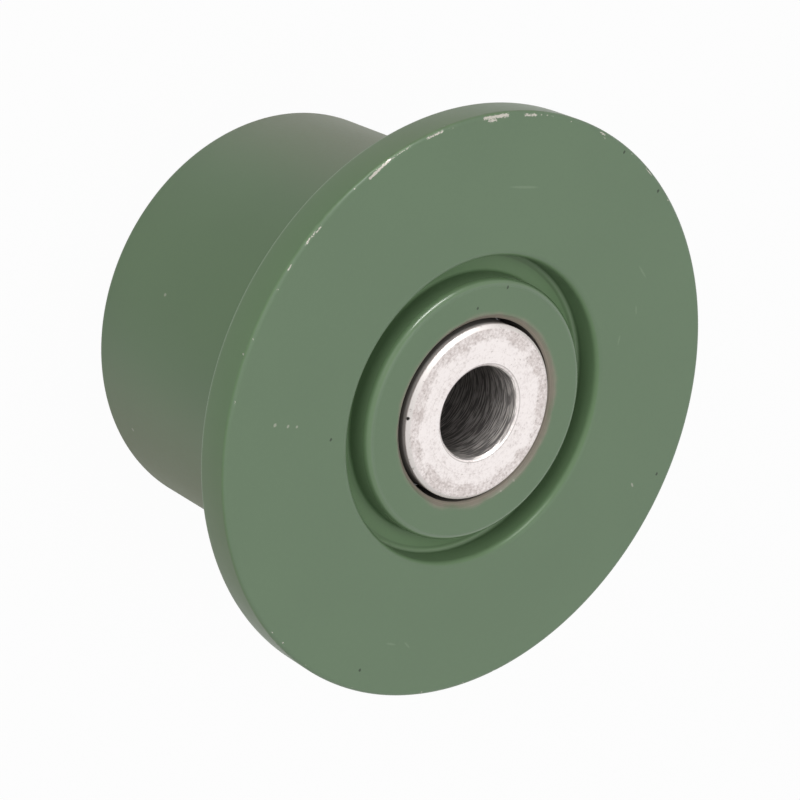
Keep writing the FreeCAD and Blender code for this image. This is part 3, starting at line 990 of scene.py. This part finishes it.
class SUPPORT_ROLLER_OT_body(bpy.types.Operator):
    """Turns the painted roller body and chips its edge"""
    bl_idname = "support_roller.body"
    bl_label = "Roller body"

    def execute(self, context):
        sizes = context.scene.roller_body
        piece = wire("painted_body", body_outline(sizes))
        lathe(piece, sizes.steps)
        nick_edge(piece, sizes)
        shade(piece)
        mark_bare_metal(piece, sizes)
        finish = green_paint(context.scene.roller_paint, sizes)
        hand_over(piece, finish, "roller", "roller_body")
        return {"FINISHED"}


# Axle sleeve

def sleeve_outline(sizes):
    """Section of the sleeve, from the back mouth of its bore round the outside."""
    back = SLEEVE_LOW.z
    front = SLEEVE_HIGH.z
    collar_low = REAR_RING_HIGH.z
    collar_high = FRONT_RING_LOW.z
    return [
        *chamfered(DOWNWARD, sizes.bore_radius, back, sizes.bore_chamfer, OUTWARD, sizes.edge_break),
        *chamfered(OUTWARD, sizes.radius, back, sizes.end_chamfer, UPWARD, sizes.edge_break),
        Corner(sizes.radius, collar_low, sizes.collar_root),
        *chamfered(OUTWARD, sizes.collar_radius, collar_low, sizes.collar_chamfer, UPWARD),
        *chamfered(UPWARD, sizes.collar_radius, collar_high, sizes.collar_chamfer, INWARD),
        Corner(sizes.radius, collar_high, sizes.collar_root),
        *chamfered(UPWARD, sizes.radius, front, sizes.end_chamfer, INWARD, sizes.edge_break),
        *chamfered(INWARD, sizes.bore_radius, front, sizes.bore_chamfer, DOWNWARD, sizes.edge_break),
    ]


def drill_bore(piece, sizes):
    """Divides the bore of the sleeve's wire and roughens it like a drilled wall."""
    wall = sizes.bore_radius + SAME_PLACE
    choose(piece, lambda vertex: vertex.co.x < wall)
    bpy.ops.mesh.subdivide(number_cuts=sizes.drill_lines)
    lowest = SLEEVE_LOW.z + 2 * sizes.bore_chamfer
    highest = SLEEVE_HIGH.z - 2 * sizes.bore_chamfer
    choose(piece, lambda vertex: vertex.co.x < wall and lowest < vertex.co.z < highest)
    bpy.ops.transform.vertex_random(offset=sizes.drill_mark, uniform=0.0, normal=0.0, seed=3)


class SUPPORT_ROLLER_OT_sleeve(bpy.types.Operator):
    """Turns the axle sleeve and drills its bore"""
    bl_idname = "support_roller.sleeve"
    bl_label = "Axle sleeve"

    def execute(self, context):
        sizes = context.scene.roller_sleeve
        piece = wire("turned_sleeve", sleeve_outline(sizes))
        drill_bore(piece, sizes)
        lathe(piece, sizes.steps)
        shade(piece)
        finish = bright_steel(context.scene.roller_steel, sizes)
        hand_over(piece, finish, "axle", "axle_sleeve")
        return {"FINISHED"}


# Retaining ring and bearings

SHARP_ABOVE = math.radians(40)
FLAT_BELOW = math.radians(0.5)


class SUPPORT_ROLLER_OT_clip(bpy.types.Operator):
    """Rounds the edges of the stamped retaining ring"""
    bl_idname = "support_roller.clip"
    bl_label = "Retaining ring"

    def execute(self, context):
        sizes = context.scene.roller_clip
        bpy.ops.object.select_all(action="DESELECT")
        solid = frame["nodes"]["retaining_ring"]
        solid.select_set(True)
        context.view_layer.objects.active = solid
        bpy.ops.object.duplicate()
        piece = context.object
        piece.name = "spring_clip"
        bpy.ops.object.mode_set(mode="EDIT")
        close_skin()
        bpy.ops.mesh.dissolve_limited(angle_limit=FLAT_BELOW)
        bpy.ops.object.mode_set(mode="OBJECT")
        rounding = piece.modifiers.new("stamped_edge", "BEVEL")
        rounding.width = sizes.edge
        rounding.segments = sizes.edge_faces
        rounding.limit_method = "ANGLE"
        rounding.angle_limit = SHARP_ABOVE
        bpy.ops.object.modifier_apply(modifier=rounding.name)
        shade(piece)
        finish = blackened_spring(context.scene.roller_bearings)
        hand_over(piece, finish, "roller", "retaining_ring")
        return {"FINISHED"}


class SUPPORT_ROLLER_OT_bearings(bpy.types.Operator):
    """Finishes the pieces of both bearings"""
    bl_idname = "support_roller.bearings"
    bl_label = "Bearings"

    def execute(self, context):
        look = context.scene.roller_bearings
        dress(nodes_with("outer_ring", "inner_ring", "_ball_"), ground_steel(look))
        dress(nodes_with("cage"), pressed_steel(look))
        dress(nodes_with("seal"), seal_rubber(look))
        return {"FINISHED"}


# Studio: where the middle of the flange's face shows in the picture, in pixels of an 800 by 800 image
PICTURE_WIDTH = 800
FACE_CENTRE_PIXEL = (478.1, 412.27)
SENSOR_WIDTH = 36.0
WHITE = (1.0, 1.0, 1.0, 1.0)


def set_world(studio):
    """White surroundings that light the object less than they show."""
    world = bpy.data.worlds.new("studio")
    world.use_nodes = True
    graph = Graph(world.node_tree)
    strength = studio.ambient + graph.seen_directly() * (1 - studio.ambient)
    background = graph.node("ShaderNodeBackground", sockets={"Color": WHITE, "Strength": strength})
    graph.node("ShaderNodeOutputWorld", sockets={"Surface": background})
    bpy.context.scene.world = world


def set_floor(studio):
    """Pale floor that shows white, keeps a soft shadow and can be looked through from below."""
    bpy.ops.object.select_all(action="DESELECT")
    height = SLEEVE_LOW.z - studio.floor_gap
    bpy.ops.mesh.primitive_plane_add(size=studio.floor_size, location=(0, 0, height))
    floor = bpy.context.object
    floor.name = "floor"
    material = bpy.data.materials.new("pale_floor")
    material.use_nodes = True
    graph = Graph(material.node_tree)
    lit = graph.node("ShaderNodeBsdfDiffuse", sockets={"Color": (*studio.floor_tone, 1.0)})
    white = graph.node("ShaderNodeEmission", sockets={"Color": WHITE})
    share = graph.seen_directly() * studio.floor_white
    upper = graph.node("ShaderNodeMixShader", sockets=dict(enumerate((share, lit, white))))
    below = graph.node("ShaderNodeNewGeometry", output="Backfacing")
    clear = graph.node("ShaderNodeBsdfTransparent")
    blend = graph.node("ShaderNodeMixShader", sockets=dict(enumerate((below, upper, clear))))
    graph.node("ShaderNodeOutputMaterial", sockets={"Surface": blend})
    floor.data.materials.append(material)


def set_lamp(name, distance, gleams):
    """A lamp with a rectangular face that looks at the roller, and either gleams on it or lights it."""
    settings = getattr(bpy.context.scene, f"roller_{name}_lamp")
    lamp = bpy.data.lights.new(name, "AREA")
    lamp.shape = "RECTANGLE"
    lamp.energy = settings.power
    lamp.size = settings.width
    lamp.size_y = settings.height
    holder = bpy.data.objects.new(name, lamp)
    flat = math.cos(settings.elevation)
    direction = Vector((flat * math.cos(settings.azimuth), flat * math.sin(settings.azimuth),
                        math.sin(settings.elevation)))
    holder.location = direction * distance
    holder.rotation_euler = direction.to_track_quat("Z", "Y").to_euler()
    holder.visible_glossy = gleams
    holder.visible_diffuse = not gleams
    bpy.context.scene.collection.objects.link(holder)


def set_camera(studio):
    """Camera at the picture's angle, with the flange's face where the picture has it."""
    data = bpy.data.cameras.new("camera")
    data.lens = studio.lens
    data.sensor_width = SENSOR_WIDTH
    camera = bpy.data.objects.new("camera", data)
    tilt = Matrix.Rotation(math.pi / 2 - studio.elevation, 4, "X")
    turned = tilt @ Matrix.Rotation(studio.roll, 4, "Z")
    pixel = studio.distance * SENSOR_WIDTH / studio.lens / PICTURE_WIDTH
    across = (FACE_CENTRE_PIXEL[0] - PICTURE_WIDTH / 2) * pixel
    down = (FACE_CENTRE_PIXEL[1] - PICTURE_WIDTH / 2) * pixel
    face_centre = Vector((0, 0, BODY_HIGH.z))
    place = face_centre - turned @ Vector((across, -down, -studio.distance))
    camera.matrix_world = Matrix.Translation(place) @ turned
    bpy.context.scene.collection.objects.link(camera)
    bpy.context.scene.camera = camera


class SUPPORT_ROLLER_OT_stage(bpy.types.Operator):
    """Sets the floor, the light and the camera"""
    bl_idname = "support_roller.stage"
    bl_label = "Studio"

    def execute(self, context):
        studio = context.scene.roller_studio
        set_world(studio)
        set_floor(studio)
        for name in LAMPS:
            set_lamp(name, studio.lamp_distance, gleams=name == GLEAMING_LAMP)
        set_camera(studio)
        context.scene.view_settings.view_transform = "Standard"
        return {"FINISHED"}


SETTINGS = {
    "roller_body": BodySizes,
    "roller_sleeve": SleeveSizes,
    "roller_clip": ClipSizes,
    "roller_paint": PaintLook,
    "roller_steel": SteelLook,
    "roller_bearings": BearingLook,
    "roller_studio": StudioSettings,
    **{f"roller_{name}_lamp": group for name, group in LAMPS.items()},
}
OPERATORS = [
    SUPPORT_ROLLER_OT_body,
    SUPPORT_ROLLER_OT_sleeve,
    SUPPORT_ROLLER_OT_clip,
    SUPPORT_ROLLER_OT_bearings,
    SUPPORT_ROLLER_OT_stage,
]


class SUPPORT_ROLLER_PT_panel(bpy.types.Panel):
    """Lists the roller's settings and its steps"""
    bl_idname = "SUPPORT_ROLLER_PT_panel"
    bl_label = "Support roller"
    bl_space_type = "VIEW_3D"
    bl_region_type = "UI"
    bl_category = "Roller"

    def draw(self, context):
        for operator in OPERATORS:
            self.layout.operator(operator.bl_idname)
        for name, group in SETTINGS.items():
            box = self.layout.box()
            box.label(text=group.__doc__)
            for key in group.__annotations__:
                box.prop(getattr(context.scene, name), key)


def register():
    """Registers the settings, the steps and the panel."""
    for group in (*SETTINGS.values(), *OPERATORS, SUPPORT_ROLLER_PT_panel):
        bpy.utils.register_class(group)
    for name, group in SETTINGS.items():
        setattr(bpy.types.Scene, name, PointerProperty(type=group))


def unregister():
    """Takes back what register added."""
    for name in SETTINGS:
        delattr(bpy.types.Scene, name)
    for group in (SUPPORT_ROLLER_PT_panel, *OPERATORS, *SETTINGS.values()):
        bpy.utils.unregister_class(group)


def main():
    """Builds the roller and its studio, and writes both boxes."""
    register()
    bpy.ops.support_roller.body()
    bpy.ops.support_roller.sleeve()
    bpy.ops.support_roller.clip()
    bpy.ops.support_roller.bearings()
    bpy.ops.support_roller.stage()


if __name__ == "__main__":
    main()
